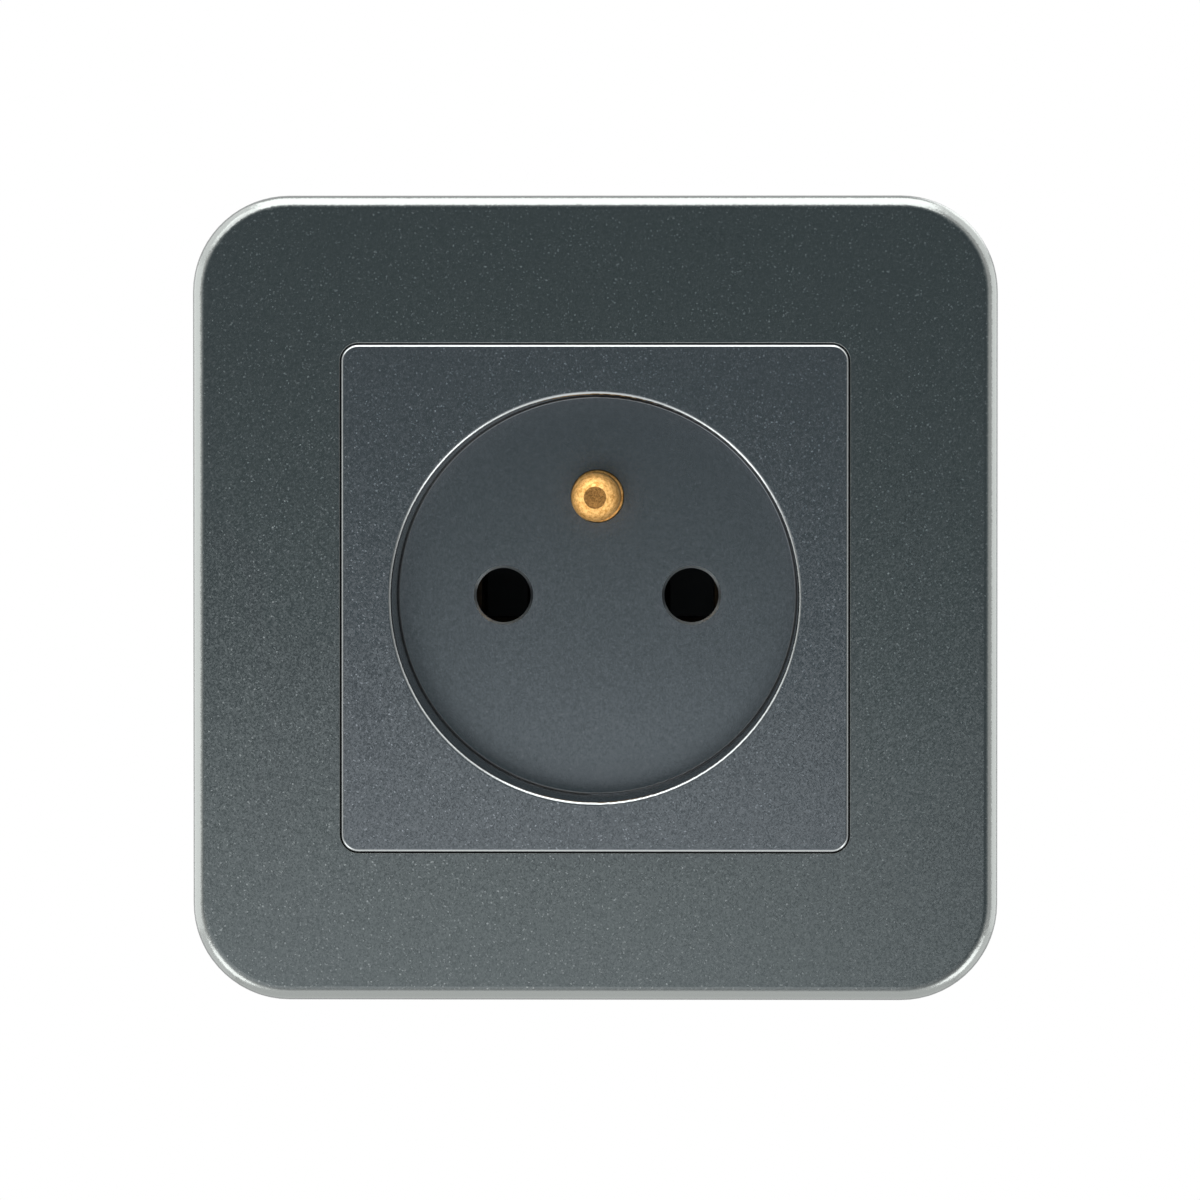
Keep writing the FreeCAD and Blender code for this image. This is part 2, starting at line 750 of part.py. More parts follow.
def make_contact(label):
    """Right-hand contact: a web that joins two sprung blades, and a flat tail into the terminal cage."""
    body = new_body(label)
    web = new_sketch(body, "front", "chamber_floor")
    add_rectangle(web, "clip_inside", "-(clip_width / 2 + sheet)", "contact_back", "-clip_width / 2")
    pad(body, web, "clip_web_length")
    blades = new_sketch(body, "top")
    rear = "-chamber_floor"
    mouth = "-base_front + clip_front_gap"
    neck = "-base_front + clip_neck_depth"
    add_outline(blades, [
        ("contact_face", rear),
        ("contact_back", rear),
        ("contact_back", neck),
        ("contact_back + chamber_clearance / 2", mouth),
        ("contact_face + chamber_clearance / 2", mouth),
        ("contact_face", neck),
    ])
    add_outline(blades, [
        ("clip_inside", rear),
        ("clip_inside + sheet", rear),
        ("clip_inner_face", neck),
        ("clip_inner_face - clip_bow", mouth),
        ("clip_inside", mouth),
        ("clip_inner_face - sheet", neck),
    ])
    pad(body, blades, "clip_width", both_ways=True)

    tail = new_sketch(body, "side", "contact_face")
    tail_front = "-(cage_front + tail_height)"
    tail_edge = "cage_half - cage_wall - chamber_clearance"
    add_outline(tail, [
        (tail_front, "0"),
        (tail_front, "-(terminal_drop + (%s))" % tail_edge),
        ("-chamber_floor - sheet", "-(terminal_drop + (%s))" % tail_edge),
        ("-chamber_floor - sheet", "-(terminal_drop - (%s))" % tail_edge),
        ("-cage_front - sheet", "-(terminal_drop - (%s))" % tail_edge),
        ("-cage_front - sheet", "0"),
    ])
    pad(body, tail, "sheet")
    return body


def make_side_cage(label):
    """Right-hand terminal cage, a square tube open to the wire at the rear, tapped on its outer side."""
    body = new_body(label)
    tube = new_sketch(body, "front", "chamber_floor")
    low = "-(terminal_drop + cage_half"
    high = "-(terminal_drop - cage_half"
    add_rectangle(tube, "cage_inside", low + ")", "cage_outside", high + ")")
    add_rectangle(
        tube,
        "cage_inside + cage_wall",
        low + " - cage_wall)",
        "cage_outside - cage_wall",
        high + " + cage_wall)",
    )
    pad(body, tube, "cage_length")
    tapped = new_sketch(body, "side", "cage_outside")
    add_circle(tapped, "-terminal_level", "-terminal_drop", "terminal_screw_diameter / 2 + thread_clearance")
    pocket(body, tapped, "cage_wall")
    return body


def make_earth_cage():
    body = new_body("earth_cage")
    tube = new_sketch(body, "front", "chamber_floor")
    add_rectangle(
        tube, "terminal_side - cage_half", "earth_cage_bottom", "terminal_side + cage_half", "earth_cage_top"
    )
    add_rectangle(
        tube,
        "terminal_side - cage_half + cage_wall",
        "earth_cage_bottom + cage_wall",
        "terminal_side + cage_half - cage_wall",
        "earth_cage_top - cage_wall",
    )
    pad(body, tube, "cage_length")
    tapped = new_sketch(body, "top", "earth_cage_top")
    add_circle(tapped, "terminal_side", "-terminal_level", "terminal_screw_diameter / 2 + thread_clearance")
    pocket(body, tapped, "cage_wall")
    return body


def make_earth_strap():
    body = new_body("earth_strap")
    flat = new_sketch(body, "front", "strap_back")
    add_strap_outline(flat, "0")
    pad(body, flat, "strap")
    tongue = new_sketch(body, "front", "chamber_floor + sheet")
    tongue_half = "cage_half - cage_wall - chamber_clearance"
    add_rectangle(
        tongue,
        "terminal_side - (%s)" % tongue_half,
        "tongue_bottom",
        "terminal_side + (%s)" % tongue_half,
        "tongue_top",
    )
    pad(body, tongue, "strap_front - chamber_floor - sheet")
    hole = new_sketch(body, "front", "strap_front")
    add_circle(hole, "0", "earth_offset", "earth_tail / 2")
    pocket(body, hole, "strap")
    return body


def make_earth_pin():
    """Turned pin with a rounded tip, a collar in the floor, a flange and a tail riveted to the strap."""
    body = new_body("earth_pin")
    profile = new_sketch(body, "top")
    tip = "-(floor_front + earth_length)"
    add_outline(profile, [
        ("0", tip),
        ("earth_tip_flat / 2", tip),
        ("earth_diameter / 2", tip + " + earth_tip_length"),
        ("earth_diameter / 2", "-floor_front"),
        ("earth_collar / 2", "-floor_front"),
        ("earth_collar / 2", "-base_front"),
        ("earth_flange / 2", "-base_front"),
        ("earth_flange / 2", "-strap_front"),
        ("earth_tail / 2", "-strap_front"),
        ("earth_tail / 2", "-strap_back"),
        ("earth_rivet / 2", "-strap_back"),
        ("earth_rivet / 2", "-strap_back + earth_rivet_thickness"),
        ("0", "-strap_back + earth_rivet_thickness"),
    ])
    revolve(body, profile, "V_Axis")
    shoulder = value(tip + " + earth_tip_length")

    def shoulder_edge(box):
        return close(box.YMin, shoulder) and close(box.YMax, shoulder)

    round_edges(body, shoulder_edge, "earth_tip_round")
    body.setExpression("Placement.Base.z", bound("earth_offset"))
    return body


def make_screw(label, head, head_height, diameter, length, countersunk=False):
    """A slotted screw along its own Z axis, with the head's seat at the origin."""
    body = new_body(label)
    profile = new_sketch(body, "front")
    shank = "(%s) / 2" % diameter
    rim = "(%s) / 2" % head
    seat = shank if countersunk else rim
    add_outline(profile, [
        ("0", head_height),
        (rim, head_height),
        (seat, "0"),
        *([] if countersunk else [(shank, "0")]),
        (shank, "-(%s)" % length),
        ("0", "-(%s)" % length),
    ])
    revolve(body, profile, "V_Axis")
    drive = new_sketch(body, "top", head_height)
    add_rectangle(drive, "-" + head, "-drive_slot_width / 2", head, "drive_slot_width / 2")
    pocket(body, drive, "drive_slot_depth")
    return body


def place(body, along_x, along_y, along_z, axis=FreeCAD.Vector(1, 0, 0), angle=0.0):
    body.Placement = FreeCAD.Placement(FreeCAD.Vector(), FreeCAD.Rotation(axis, angle))
    for name, formula in zip("xyz", (along_x, along_y, along_z)):
        body.setExpression("Placement.Base." + name, bound(formula))


def make_terminal_screw(label):
    head_height = "terminal_screw_head_height"
    length = "cage_wall + chamber_clearance + terminal_screw_reach"
    return make_screw(label, "terminal_screw_head", head_height, "terminal_screw_diameter", length)


def make_lid_screws():
    screws = []
    for number, (side, height) in enumerate(LID_SCREW_PLACES, start=1):
        head_height = "(lid_screw_head - lid_screw_diameter) / 2 - thread_clearance"
        screw = make_screw(
            "lid_screw_%d" % number,
            "lid_screw_head - 2 * thread_clearance",
            head_height,
            "lid_screw_diameter",
            "lid_screw_depth - lid_screw_head / 2",
            countersunk=True,
        )
        level = "-(lid_front - thread_clearance) + " + head_height
        place(screw, side, level, height, angle=QUARTER_TURN)
        screws.append(screw)
    group = doc.addObject("Part::Compound", "lid_screws")
    group.Links = screws
    group.Label = "lid_screws"
    return group


def make_claw(label):
    """Upper claw: a tapped foot on the screw, an arm towards the front and three teeth bent outwards."""
    body = new_body(label)
    strip = new_sketch(body, "side")
    foot_rear = "claw_depth + claw_sheet"
    tip_rear = "claw_tip_depth + claw_sheet"
    add_outline(strip, [
        ("claw_depth", "claw_foot_inner"),
        (foot_rear, "claw_foot_inner"),
        (foot_rear, "claw_arm_outer", "claw_bend + claw_sheet"),
        (tip_rear, "claw_arm_outer", "claw_bend"),
        (tip_rear, "claw_tooth_tip"),
        ("claw_tip_depth", "claw_tooth_tip"),
        ("claw_tip_depth", "claw_arm_inner", "claw_bend + claw_sheet"),
        ("claw_depth", "claw_arm_inner", "claw_bend"),
    ])
    pad(body, strip, "claw_width", both_ways=True)

    notches = new_sketch(body, "front", "-claw_tip_depth")
    for side in ("", "-"):
        middle = side + "claw_notch_spacing / 2"
        add_outline(notches, [
            (middle + " - claw_notch_width / 2", "claw_tooth_tip + claw_bend"),
            (middle, "claw_arm_outer"),
            (middle + " + claw_notch_width / 2", "claw_tooth_tip + claw_bend"),
        ])
    pocket(body, notches, "claw_sheet")
    tapped = new_sketch(body, "front", "-claw_depth")
    add_circle(tapped, "0", "screw_rest", "claw_screw_diameter / 2 + thread_clearance")
    pocket(body, tapped, "claw_sheet")
    return body


def mirrored_copy(source, label, normal):
    copy = doc.addObject("Part::Mirroring", label)
    copy.Label = label
    copy.Source = source
    copy.Normal = normal
    return copy


def make_all():
    across = FreeCAD.Vector(1, 0, 0)
    upwards = FreeCAD.Vector(0, 0, 1)
    turn_to_right = FreeCAD.Vector(0, 1, 0)
    pieces = [
        make_outer_frame(),
        make_cover_plate(),
        make_support_plate(),
        make_contact_base(),
        make_contact_lid(),
        make_lid_screws(),
        make_earth_pin(),
        make_earth_strap(),
        make_earth_cage(),
    ]
    right_contact = make_contact("right_contact")
    right_cage = make_side_cage("right_cage")
    right_screw = make_terminal_screw("right_terminal_screw")
    screw_seat = "cage_outside + chamber_clearance"
    place(right_screw, screw_seat, "-terminal_level", "-terminal_drop", turn_to_right, QUARTER_TURN)
    earth_screw = make_terminal_screw("earth_terminal_screw")
    place(earth_screw, "terminal_side", "-terminal_level", "earth_cage_top + chamber_clearance")
    upper_claw = make_claw("upper_claw")
    upper_screw = make_screw(
        "upper_claw_screw",
        "claw_screw_head",
        "claw_screw_head_height",
        "claw_screw_diameter",
        "claw_screw_length",
    )
    place(upper_screw, "0", "-plate_thickness", "screw_rest", angle=QUARTER_TURN)
    pieces += [right_contact, right_cage, right_screw, earth_screw, upper_claw, upper_screw]
    pieces += [
        mirrored_copy(right_contact, "left_contact", across),
        mirrored_copy(right_cage, "left_cage", across),
        mirrored_copy(right_screw, "left_terminal_screw", across),
        mirrored_copy(upper_claw, "lower_claw", upwards),
        mirrored_copy(upper_screw, "lower_claw_screw", upwards),
    ]
    doc.recompute()
    return pieces


def check_document(pieces):
    for item in doc.Objects:
        if "Invalid" in item.State or "Error" in item.State:
            raise RuntimeError("%s failed to recompute" % item.Label)
    for piece in pieces:
        if piece.Shape.isNull() or not piece.Shape.isValid():
            raise RuntimeError("%s has no valid shape" % piece.Label)


def export(pieces):
    os.makedirs("parts", exist_ok=True)
    for piece in pieces:
        piece.Shape.exportStep(os.path.join("parts", piece.Label + ".step"))
        print("%-22s %10.2f mm3" % (piece.Label, piece.Shape.Volume))


sheet_of_sizes = fill_sheets()
all_pieces = make_all()
check_document(all_pieces)
export(all_pieces)
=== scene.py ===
"""Flush wall socket with an earth pin: finishes, screw threads, floor, light and camera."""

import json
import math
from types import SimpleNamespace

import bmesh
import bpy
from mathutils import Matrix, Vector


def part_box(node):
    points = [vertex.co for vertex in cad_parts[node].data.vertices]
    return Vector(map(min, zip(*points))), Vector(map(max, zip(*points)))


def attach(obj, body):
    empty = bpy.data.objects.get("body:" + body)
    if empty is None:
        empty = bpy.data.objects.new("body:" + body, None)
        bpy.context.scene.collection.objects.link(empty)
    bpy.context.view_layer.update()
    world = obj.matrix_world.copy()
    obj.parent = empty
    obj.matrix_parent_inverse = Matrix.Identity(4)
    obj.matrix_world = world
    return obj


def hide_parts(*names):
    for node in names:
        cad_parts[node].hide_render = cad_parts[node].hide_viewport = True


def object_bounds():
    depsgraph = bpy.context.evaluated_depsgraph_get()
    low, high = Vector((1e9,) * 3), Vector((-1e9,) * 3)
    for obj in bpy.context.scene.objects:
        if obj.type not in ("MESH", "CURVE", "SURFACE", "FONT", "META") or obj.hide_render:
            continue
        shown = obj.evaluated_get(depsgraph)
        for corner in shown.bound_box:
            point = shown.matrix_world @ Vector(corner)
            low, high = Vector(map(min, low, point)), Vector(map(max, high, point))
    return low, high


MM = 0.001
WHITE = (1, 1, 1, 1)
ORIGIN = (0, 0, 0)

# Camera at the photograph's place, almost straight in front
CAMERA_PLACE = Vector((14.8, -823.4, 18.5)) * MM
CAMERA_AIM = Vector((0.52, -9.9, -0.15)) * MM
CAMERA_LENS = 246.0
CAMERA_CLIP = 0.01

# Floor, over which the socket hangs as it would on a wall
FLOOR_DROP = 0.3
FLOOR_SIZE = 3.0
FLOOR_GLOW = 0.65
FLOOR_FADE = (0.2, 0.45 * FLOOR_SIZE)

# Room, whose dim front is a span of how far a direction points to +Y
AMBIENT = (0.5, 0.5, 0.5, 1)
FRONT_ROOM = (0.31, 0.37, 0.39, 1)
FRONT_SPAN = (-0.92, -0.72)

# Lamps, in metres and with a brightness of 1 for white
PLAIN_LAMP_SIZE = (0.5, 0.5)
PLAIN_LAMP_BRIGHTNESS = 2.0
CORNER_REACH = 0.3
CORNER_BACK = 0.02
CORNER_SIZE = (0.46, 0.34)
CRESCENT_REACH = 0.245
CRESCENT_AHEAD = 0.22
CRESCENT_SIZE = (0.18, 0.18)
STRIP_RECEIVERS = ("outer_frame", "cover_plate", "earth_pin")

# Metallic paint, with tones for dark ground, light ground and flakes
FRAME_TONES = ((0.088, 0.100, 0.102, 1), (0.106, 0.118, 0.120, 1), (0.24, 0.255, 0.255, 1))
# Rim tone paler than the face: a painted highlight for the lamps' glare on the frame's edges
FRAME_EDGE_HIGHLIGHT = (0.24, 0.254, 0.246, 1)
FRAME_SKIN = 1.8 * MM
COVER_TONES = ((0.100, 0.110, 0.118, 1), (0.118, 0.128, 0.138, 1), (0.25, 0.265, 0.285, 1))
# Cover edge tones: painted highlights, paler on level edges than on upright ones
COVER_LEVEL_EDGE_HIGHLIGHT = (0.39, 0.41, 0.41, 1)
COVER_UPRIGHT_EDGE_HIGHLIGHT = (0.17, 0.18, 0.18, 1)
COVER_SKIN = 0.5 * MM
# Gain that lightens the well's wall: painted light, so the wall is as light as the lit floor beside it
WELL_WALL_PAINTED_LIGHT = 2.0
# Near-black tone for the well's crease: painted shade
CREASE_SHADE = (0.04, 0.043, 0.045, 1)
CREASE_REACH = 17 * MM
BARE_PLASTIC = (0.030, 0.031, 0.033, 1)
FACE_ROUGHNESS = 0.22
WALL_ROUGHNESS = 0.16
DEEP_EDGE_ROUGHNESS = 0.45
FLAKE_SIZE = 0.13 * MM
FLAKE_LEAN = 0.075
FLAKE_RARITY = 30.0
WELL_FLAKE_LEAN = 0.03
WELL_FLAKE_SHARE = 0.2

# Spans of how far a face looks to +Y, from -1 in front to 1 behind
FLAT_SPAN = (-0.99, -0.94)
EDGE_SPAN = (-0.5, -0.1)
BACK_SPAN = (0.3, 0.5)

# Span of how far an edge looks up or down, from upright edges to level ones
LEVEL_SPAN = (0.1, 0.35)

# Spans of noise for soft and for crisp patterns
SOFT = (0.3, 0.7)
CRISP = (0.35, 0.65)

# The well's rounded rings, where the paint follows the exact form
WELL_RADIUS = 20.2 * MM
WELL_DEPTH = 15.0 * MM
WELL_LIP = 0.4 * MM
WELL_BOTTOM_ROUND = 0.3 * MM
RING_SLACK = 0.12 * MM
RING_REACH = 1.0 * MM

# Claw screws, with an M3 thread
SCREW_RADIUS = 1.5 * MM
SCREW_HEAD_HEIGHT = 1.28 * MM
SCREW_NECK = 2.4 * MM
SLOT_HALF_WIDTH = 0.4 * MM
SLOT_DEPTH = 0.7 * MM
HEAD_STEPS = 16
THREAD_PITCH = 0.5 * MM
THREAD_DEPTH = 0.3 * MM
THREAD_STEPS = 24
CORE_RADIUS = SCREW_RADIUS - THREAD_DEPTH
CORE_INSET = 0.01 * MM

# Shares of the pitch where the root ends and where the crest starts and ends
ROOT_END = 0.25
CREST_START = 0.56
CREST_END = 0.69


# Node trees

class Nodes:
    """Short ways to add nodes to a tree."""

    def __init__(self, tree):
        self.tree = tree

    def node(self, kind, inputs=None, **attributes):
        """A node with its attributes set and its inputs fed."""
        made = self.tree.nodes.new(kind)
        for attribute, setting in attributes.items():
            setattr(made, attribute, setting)
        for socket, source in (inputs or {}).items():
            self.feed(made.inputs[socket], source)
        return made

    def feed(self, socket, source):
        """Link another node's output to a socket, or set its value."""
        if isinstance(source, bpy.types.NodeSocket):
            self.tree.links.new(source, socket)
        else:
            socket.default_value = source

    def mix(self, share, low, high):
        """A value or colour that goes from low to high with a share."""
        is_value = isinstance(low, float) or getattr(low, "type", "") == "VALUE"
        made = self.node("ShaderNodeMix", data_type="FLOAT" if is_value else "RGBA")
        sockets = [socket for socket in made.inputs if socket.enabled]
        for socket, source in zip(sockets, (share, low, high)):
            self.feed(socket, source)
        return next(socket for socket in made.outputs if socket.enabled)

    def ramp(self, factor, low, high, span=(0.0, 1.0)):
        """A value or colour that goes from low to high as a factor crosses a span."""
        inputs = {"Value": factor, "From Min": span[0], "From Max": span[1]}
        return self.mix(self.node("ShaderNodeMapRange", inputs).outputs["Result"], low, high)

    def fade(self, factor, span):
        """A share that falls from 1 to 0 as a factor crosses a span."""
        return self.ramp(factor, 1.0, 0.0, span)

    def calculate(self, operation, *sources):
        """A number worked out from others."""
        made = self.node("ShaderNodeMath", dict(enumerate(sources)), operation=operation)
        return made.outputs[0]

    def product(self, first, *others):
        """Numbers multiplied with each other."""
        for other in others:
            first = self.calculate("MULTIPLY", first, other)
        return first

    def combine(self, operation, *sources):
        """A vector or number worked out from vectors."""
        made = self.node("ShaderNodeVectorMath", dict(enumerate(sources)), operation=operation)
        return made.outputs["Value" if operation in ("LENGTH", "DOT_PRODUCT") else "Vector"]

    def scale(self, vector, factor):
        """A vector made longer or a colour made lighter by a factor."""
        inputs = {0: vector, "Scale": factor}
        return self.node("ShaderNodeVectorMath", inputs, operation="SCALE").outputs["Vector"]

    def part(self, vector, axis):
        """The part of a vector along one axis."""
        return self.node("ShaderNodeSeparateXYZ", {"Vector": vector}).outputs[axis]


class Surface(Nodes):
    """A material with its Principled shader, whose settings are given by the names of its sockets."""

    def __init__(self, name, **settings):
        self.material = bpy.data.materials.new(name)
        self.material.use_nodes = True
        super().__init__(self.material.node_tree)
        self.shader = self.tree.nodes["Principled BSDF"]
        for socket, setting in settings.items():
            self.drive(socket.replace("_", " ").title(), setting)
        self.place = self.node("ShaderNodeTexCoord").outputs["Object"]
        self.normal = self.node("ShaderNodeNewGeometry").outputs["Normal"]

    def drive(self, socket, source):
        """Feed one of the shader's sockets."""
        self.feed(self.shader.inputs[socket], source)

    def depth_behind(self, front):
        """How far a place lies behind a front, along Y."""
        return self.calculate("SUBTRACT", self.part(self.place, "Y"), front)

    def noise(self, waves, detail=2.0, roughness=0.5, stretch=(1, 1, 1)):
        """Noise of a number of waves per metre, stretched for grain that runs one way."""
        inputs = {"Vector": self.place, "Scale": stretch}
        place = self.node("ShaderNodeMapping", inputs).outputs["Vector"]
        inputs = {"Vector": place, "Scale": waves, "Detail": detail, "Roughness": roughness}
        return self.node("ShaderNodeTexNoise", inputs).outputs["Fac"]

    def bump(self, height, distance, strength=1.0):
        """Normals of a surface that rises by a distance where the height is 1."""
        inputs = {"Height": height, "Distance": distance, "Strength": strength}
        return self.node("ShaderNodeBump", inputs).outputs["Normal"]

    def blend(self, share, first, second):
        """A shader that goes from the first to the second with a share."""
        return self.node("ShaderNodeMixShader", {0: share, 1: first, 2: second}).outputs["Shader"]

    def round_off(self, radius, level, rounding, side):
        """Exact normals where a ring round the Y axis is rounded off, or filleted where side is -1."""
        outwards = self.combine("MULTIPLY", self.place, (1, 0, 1))
        reach = self.combine("LENGTH", outwards)
        along = self.part(self.place, "Y")
        lean = self.product(self.calculate("SUBTRACT", reach, radius), side)
        lift = self.product(self.calculate("SUBTRACT", along, level), side)
        lean = self.scale(self.combine("NORMALIZE", outwards), self.calculate("MINIMUM", lean, 0.0))
        lift = self.scale((0, 1, 0), self.calculate("MINIMUM", lift, 0.0))
        exact = self.combine("ADD", lean, lift)
        is_round = self.calculate("COMPARE", self.combine("LENGTH", exact), rounding, RING_SLACK)
        is_beside = self.calculate("COMPARE", reach, radius, RING_REACH)
        is_level = self.calculate("COMPARE", along, level, RING_REACH)
        is_ring = self.product(is_round, is_beside, is_level)
        self.normal = self.mix(is_ring, self.normal, self.combine("NORMALIZE", exact))

    def flakes(self, size, reach):
        """Normals of flakes that each lean their own way, and a number of its own for each flake."""
        inputs = {"Vector": self.place, "Scale": 1.0 / size}
        cells = self.node("ShaderNodeTexVoronoi", inputs).outputs["Color"]
        lean = self.scale(self.combine("SUBTRACT", cells, (0.5, 0.5, 0.5)), reach)
        number = self.node("ShaderNodeSeparateColor", {"Color": cells}).outputs["Red"]
        return self.combine("NORMALIZE", self.combine("ADD", self.normal, lean)), number


# Finishes

def paint_shares(surface, front, skin_depth, wall_side):
    """Where a painted piece is skin, flat face, edge, wall, crease or painted, as shares from 0 to 1."""
    facing = surface.part(surface.normal, "Y")
    outwards = surface.combine("MULTIPLY", surface.place, (wall_side, 0, wall_side))
    turn = surface.combine("DOT_PRODUCT", surface.normal, outwards)
    skin = surface.fade(surface.depth_behind(front), (skin_depth, 2 * skin_depth))
    flat = surface.fade(facing, FLAT_SPAN)
    edge = surface.mix(flat, surface.fade(facing, EDGE_SPAN), 0.0)
    wall = surface.mix(flat, surface.calculate("SUBTRACT", 1.0, skin), 0.0)
    far = surface.calculate("GREATER_THAN", surface.combine("LENGTH", outwards), CREASE_REACH)
    # Deep edges far out from the axis are the well's crease, which gets painted shade
    crease = surface.mix(skin, far, 0.0)
    bare = surface.product(surface.calculate("LESS_THAN", turn, 0.0), far, wall)
    painted = surface.mix(bare, surface.fade(facing, BACK_SPAN), 0.0)
    return SimpleNamespace(skin=skin, flat=flat, edge=edge, wall=wall, crease=crease, painted=painted)


def anthracite_paint(node, tones, edges, skin_depth, wall_side, wall_painted_light=1.0, rings=()):
    """Metallic paint with fine flakes, painted highlights on edges and painted shade in the well's
    crease, over bare plastic.

    The edges are the tones of upright and of level edges: painted highlights that stand in for the
    lamps' glare on the rims, paler on level edges. Walls behind the skin are painted where they face
    outwards, or inwards where wall_side is -1, and their ground is lightened by the wall gain as painted
    light. The rings are rounded places that get exact normals, with levels counted from the front.
    """
    surface = Surface(node + "_paint", coat_weight=0.15, coat_roughness=0.1)
    dark, light, bright = tones
    upright_edge_highlight, level_edge_highlight = edges
    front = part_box(node)[0].y
    for radius, level, rounding, side in rings:
        surface.round_off(radius, front + level, rounding, side)
    share = paint_shares(surface, front, skin_depth, wall_side)
    normals, number = surface.flakes(FLAKE_SIZE, surface.mix(share.skin, WELL_FLAKE_LEAN, FLAKE_LEAN))
    rare = surface.calculate("POWER", number, FLAKE_RARITY)
    glint = surface.product(rare, share.flat, surface.mix(share.skin, WELL_FLAKE_SHARE, 1.0))
    ground = surface.ramp(surface.noise(waves=2600.0, detail=3.0, roughness=0.6), dark, light, SOFT)
    # Walls behind the skin are lightened by the gain: painted light
    ground = surface.scale(ground, surface.mix(share.wall, 1.0, wall_painted_light))
    # Edge tones are painted highlights, paler on level edges than on upright ones
    slope = surface.calculate("ABSOLUTE", surface.part(surface.normal, "Z"))
    edge = surface.ramp(slope, upright_edge_highlight, level_edge_highlight, LEVEL_SPAN)
    # In the well's crease the edge tone gives way to painted shade
    ground = surface.mix(share.edge, ground, surface.mix(share.crease, edge, CREASE_SHADE))
    paint = surface.mix(glint, ground, bright)
    wall_roughness = surface.mix(share.edge, WALL_ROUGHNESS, DEEP_EDGE_ROUGHNESS)
    surface.drive("Base Color", surface.mix(share.painted, BARE_PLASTIC, paint))
    surface.drive("Metallic", share.painted)
    surface.drive("Roughness", surface.mix(share.wall, FACE_ROUGHNESS, wall_roughness))
    surface.drive("Normal", normals)
    return surface.material


def black_plastic():
    """Moulded insulating plastic with a fine matte grain and faint flow marks."""
    dark = (0.014, 0.014, 0.016, 1)
    light = (0.026, 0.026, 0.028, 1)
    surface = Surface("black_plastic")
    flow = surface.noise(waves=60.0, detail=4.0, stretch=(1.0, 0.3, 1.0))
    grain = surface.noise(waves=5000.0, detail=3.0)
    surface.drive("Base Color", surface.ramp(flow, dark, light, SOFT))
    surface.drive("Roughness", surface.ramp(flow, low=0.38, high=0.55, span=SOFT))
    surface.drive("Normal", surface.bump(grain, distance=0.006 * MM))
    return surface.material


def zinc_steel():
    """Zinc plated sheet: bluish, with pale and straw-coloured clouds and a fine rolled grain."""
    bluish = (0.47, 0.49, 0.52, 1)
    straw = (0.57, 0.56, 0.53, 1)
    surface = Surface("zinc_steel", metallic=1.0)
    clouds = surface.noise(waves=120.0, detail=5.0, roughness=0.6)
    grain = surface.noise(waves=1500.0, detail=3.0, stretch=(0.06, 1.0, 1.0))
    surface.drive("Base Color", surface.ramp(clouds, bluish, straw, span=(0.35, 0.7)))
    surface.drive("Roughness", surface.ramp(grain, low=0.34, high=0.42, span=SOFT))
    surface.drive("Normal", surface.bump(grain, distance=0.0015 * MM))
    return surface.material


def sheet_brass():
    """Stamped brass with a light tarnish."""
    tarnished = (0.44, 0.28, 0.11, 1)
    clean = (0.74, 0.52, 0.22, 1)
    surface = Surface("sheet_brass", metallic=1.0)
    tarnish = surface.noise(waves=350.0, detail=5.0, roughness=0.65)
    grain = surface.noise(waves=2500.0, detail=3.0)
    surface.drive("Base Color", surface.ramp(tarnish, tarnished, clean, CRISP))
    surface.drive("Roughness", surface.ramp(tarnish, low=0.5, high=0.3, span=CRISP))
    surface.drive("Normal", surface.bump(grain, distance=0.004 * MM))
    return surface.material


def shade_dark_contact_bronze():
    """Spring bronze, made near-black as painted shade for the dark deep inside the pin holes."""
    dark = (0.012, 0.009, 0.006, 1)
    light = (0.03, 0.02, 0.012, 1)
    surface = Surface("shade_dark_contact_bronze", metallic=1.0, roughness=0.5)
    stains = surface.noise(waves=900.0, detail=4.0, roughness=0.6)
    surface.drive("Base Color", surface.ramp(stains, dark, light, CRISP))
    return surface.material


def turned_brass():
    """Turned pin: bright mottled flanks and a dull end face that was cut off rough."""
    flank_tones = ((0.56, 0.28, 0.07, 1), (0.92, 0.587, 0.224, 1))
    end_tones = ((0.13, 0.068, 0.022, 1), (0.39, 0.2, 0.061, 1))
    end_depth = 0.03 * MM
    end_roughness = 0.6
    surface = Surface("turned_brass", metallic=1.0)
    mottle = surface.noise(waves=2600.0, detail=4.0, roughness=0.7)
    specks = surface.noise(waves=6000.0, detail=3.0, roughness=0.7)
    flank = surface.ramp(mottle, *flank_tones, span=(0.36, 0.6))
    end_face = surface.ramp(specks, *end_tones, span=CRISP)
    depth = surface.depth_behind(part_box("earth_pin")[0].y)
    is_behind = surface.calculate("GREATER_THAN", depth, end_depth)
    flank_roughness = surface.ramp(mottle, low=0.7, high=0.54)
    surface.drive("Base Color", surface.mix(is_behind, end_face, flank))
    surface.drive("Roughness", surface.mix(is_behind, end_roughness, flank_roughness))
    surface.drive("Normal", surface.bump(specks, distance=0.02 * MM, strength=0.6))
    return surface.material


def assign(node, material):
    """Give a node of the frame one finish."""
    slots = frame["nodes"][node].data.materials
    slots.clear()
    slots.append(material)


